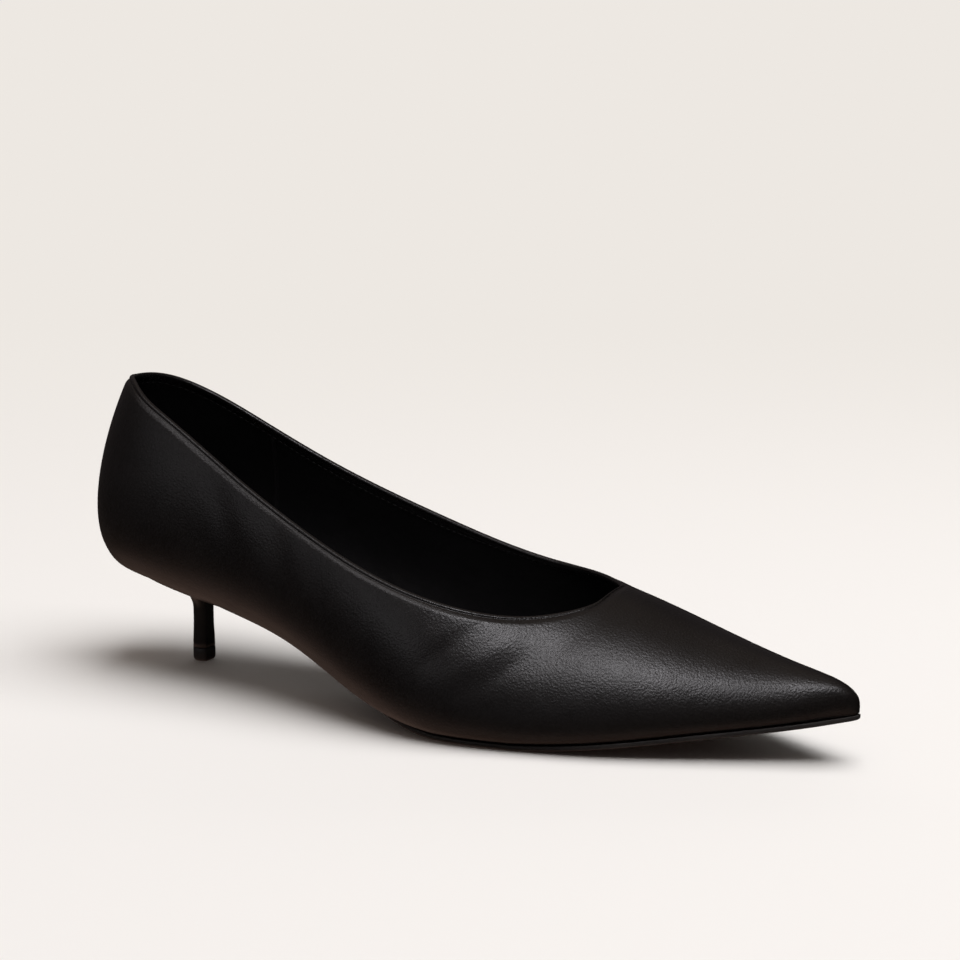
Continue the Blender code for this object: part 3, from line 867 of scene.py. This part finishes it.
outsole_mesh = smooth_mesh("outsole_leather", [rings - MIDDLE])
tread = Finish("sole_leather", IOR=1.45)
scuffs = tread.noise(60.0, 4.0, 0.65, (0.35, 1.0, 1.0))
tread.drive(
    Base_Color=tread.mix(scuffs.eased(0.4, 0.75), (0.012, 0.0105, 0.010, 1.0), (0.03, 0.025, 0.022, 1.0)),
    Roughness=0.5 + (scuffs - 0.5) * 0.25,
    Normal=tread.bump(tread.noise(500.0, 3.0, 0.6), 0.0001, 0.6),
)
outsole = add_piece("outsole_leather", outsole_mesh, tread, "sole", ["outsole"])


# The heel: hard plastic under a skin of the upper's leather, screwed on through the seat. Its hull
# closes the back of the shoe and flows into a slim pin with a flat breast.
SEAT_BACK = 2.0 * MM
SEAT_RIM = 0.9 * MM
RIM_GROWTH = 25.0 * MM
HULL_DEPTH = 6.5 * MM
HULL_POWER = 2.2
PIN_CENTRE = np.array([32.7, 2.0]) * MM
PIN_RADIUS = 3.7 * MM
PIN_BREAST = 2.8 * MM
PIN_WAIST = 0.92
PIN_FILLET, BREAST_FILLET = 7.5 * MM, 1.5 * MM
BREAST_START, BREAST_END = 0.0, 0.75
TIP_HEIGHT = 4.4 * MM
CORNER = 0.15 * MM          # how softly the round back turns into the breast
RING_POINTS = 144
ring_angle = np.linspace(0.0, 2 * math.pi, RING_POINTS + 1)


def pin_outline(scale, height, proud=0.0):
    """The pin's D shape at a height: a circle cut off by the flat breast in front, its corners eased."""
    radius, breast = PIN_RADIUS * scale + proud, PIN_BREAST * scale + proud
    x = radius * np.cos(ring_angle)
    x = breast - CORNER * np.logaddexp(0, (breast - x) / CORNER)
    y = radius * np.sin(ring_angle)
    return np.stack([PIN_CENTRE[0] + x, PIN_CENTRE[1] + y, np.full_like(x, height)], axis=-1)


seat_way = np.linspace(0.0, way_at(SEAT_LENGTH + 30 * MM), 400)
seat_line = feather_line(seat_way, MEDIAL, 0.0, -GAP)
seat_sides = [feather_line(seat_way, side, -TUCKED) for side in (LATERAL, MEDIAL)]


def seat_height(x):
    """Height of the seat's top at x, just under the feather line."""
    return np.interp(x, seat_line[:, 0], seat_line[:, 2])


def seat_outline():
    """The seat's edge in plan, where a ray from the pin's centre meets it at each angle."""
    line = np.concatenate([side[:, :2] for side in seat_sides]) - PIN_CENTRE
    angle = np.arctan2(line[:, 1], line[:, 0])
    order = np.argsort(angle)
    reach = np.interp(ring_angle, angle[order], np.hypot(*line.T)[order], period=2 * math.pi)
    front = (SEAT_LENGTH - PIN_CENTRE[0]) / np.maximum(np.cos(ring_angle), 1e-6)
    reach = np.minimum(reach, front)
    return PIN_CENTRE + reach[:, None] * np.stack([np.cos(ring_angle), np.sin(ring_angle)], axis=-1)


def hull_height(plan):
    """Height of the hull: deepest at the pin, less by the same power of the way out and along."""
    x, y = plan[:, 0], plan[:, 1]
    halves = [np.interp(x, line[:, 0], np.abs(line[:, 1])) for line in seat_sides]
    side_reach = np.maximum(sum(halves) / 2, 1 * MM)
    behind = (PIN_CENTRE[0] - x) / (PIN_CENTRE[0] - SEAT_BACK)
    ahead = (x - PIN_CENTRE[0]) / (SEAT_LENGTH - PIN_CENTRE[0])
    lengthwise = np.clip(np.maximum(behind, ahead), 0, 1)
    out = np.clip(np.abs(y) / side_reach, 0, 1)
    deep = HULL_DEPTH * (1 - lengthwise ** HULL_POWER) * (1 - out ** HULL_POWER)
    rim = SEAT_RIM + (SOLE - SEAT_RIM) * eased(1 - (SEAT_LENGTH - x) / RIM_GROWTH)
    return seat_height(x) - rim - deep


edge = seat_outline()
ahead = eased((np.cos(ring_angle) - BREAST_START) / (BREAST_END - BREAST_START))
fillet = PIN_FILLET + (BREAST_FILLET - PIN_FILLET) * ahead
outwards = np.stack([np.cos(ring_angle), np.sin(ring_angle)], axis=-1)
root = pin_outline(PIN_WAIST, 0.0)[:, :2] + fillet[:, None] * outwards
rings = []
for part in (0.0, 0.35, 0.7, 0.95, 1.0):
    plan = PIN_CENTRE + part * (edge - PIN_CENTRE)
    rings.append(np.column_stack([plan, seat_height(plan[:, 0])]))
for part in np.linspace(1.0, 0.0, 15):
    plan = root + part * (edge - root)
    rings.append(np.column_stack([plan, hull_height(plan)]))
under = rings[-1][:, 2]
for turned in np.radians(np.linspace(12, 90, 10)):
    plan = root - (fillet * math.sin(turned))[:, None] * outwards
    rings.append(np.column_stack([plan, under - fillet * (1 - math.cos(turned))]))
for height in np.linspace(14.0, (TIP_HEIGHT + GAP) / MM, 7) * MM:
    flare = 1 - eased((height - TIP_HEIGHT) / (14 * MM - TIP_HEIGHT))
    rings.append(pin_outline(PIN_WAIST + (1 - PIN_WAIST) * flare, height))
rings.append(rings[-1] * (0, 0, 1) + np.array([*PIN_CENTRE, 0.0]))
heel_mesh = smooth_mesh("heel_cover", [np.array(rings) - MIDDLE])

cover = Finish("heel_calf", IOR=1.45)
# Painted warm bounce: the cover is the upper's black calf, lightened and warmed to the brown of the upper's
# painted low band, so that band runs on over hull and pin; cover_lumps only varies it at random.
cover_lumps = cover.noise(160.0, 3.0, 0.6)
cover.drive(
    Base_Color=cover.mix(cover_lumps, (0.0085, 0.0068, 0.0058, 1.0), (0.0125, 0.0100, 0.0085, 1.0)),
    Roughness=0.34 + (cover_lumps - 0.5) * 0.14,
    Normal=cover.bump(cover.noise(800.0, 3.0, 0.6), 0.0001, 0.4),
)
heel = add_piece("heel_cover", heel_mesh, cover, "heel_cover", ["heel"])


# The top piece: a small hard black tip, nailed up into the pin, a hair wider than it and worn round
# at the floor.
TIP_PROFILE = (             # how proud of the pin, and how high, in millimetres
    (-2.0, 4.4),
    (-0.12, 4.4),
    (0.0, 4.3),
    (0.03, 3.0),
    (0.03, 1.4),
    (-0.05, 0.7),
    (-0.25, 0.2),
    (-0.5, 0.0),
    (-2.0, 0.0),
)
tip_rings = [pin_outline(1.0, height * MM, proud * MM) for proud, height in TIP_PROFILE]
tip_rings = [tip_rings[0] * (0, 0, 1) + np.array([*PIN_CENTRE, 0.0])] + tip_rings[1:-1]
tip_rings.append(tip_rings[-1] * (0, 0, 1) + np.array([*PIN_CENTRE, 0.0]))
tip_mesh = smooth_mesh("top_lift", [np.array(tip_rings) - MIDDLE])
rubber = Finish("top_piece_rubber", Base_Color=(0.016, 0.015, 0.015, 1.0))
grit = rubber.noise(1500.0, 3.0, 0.7)
rubber.drive(Roughness=0.5 + (grit - 0.5) * 0.3, Normal=rubber.bump(grit, 0.00006, 0.5))
top_piece = add_piece("top_lift", tip_mesh, rubber, "top_piece", ["top_piece"])
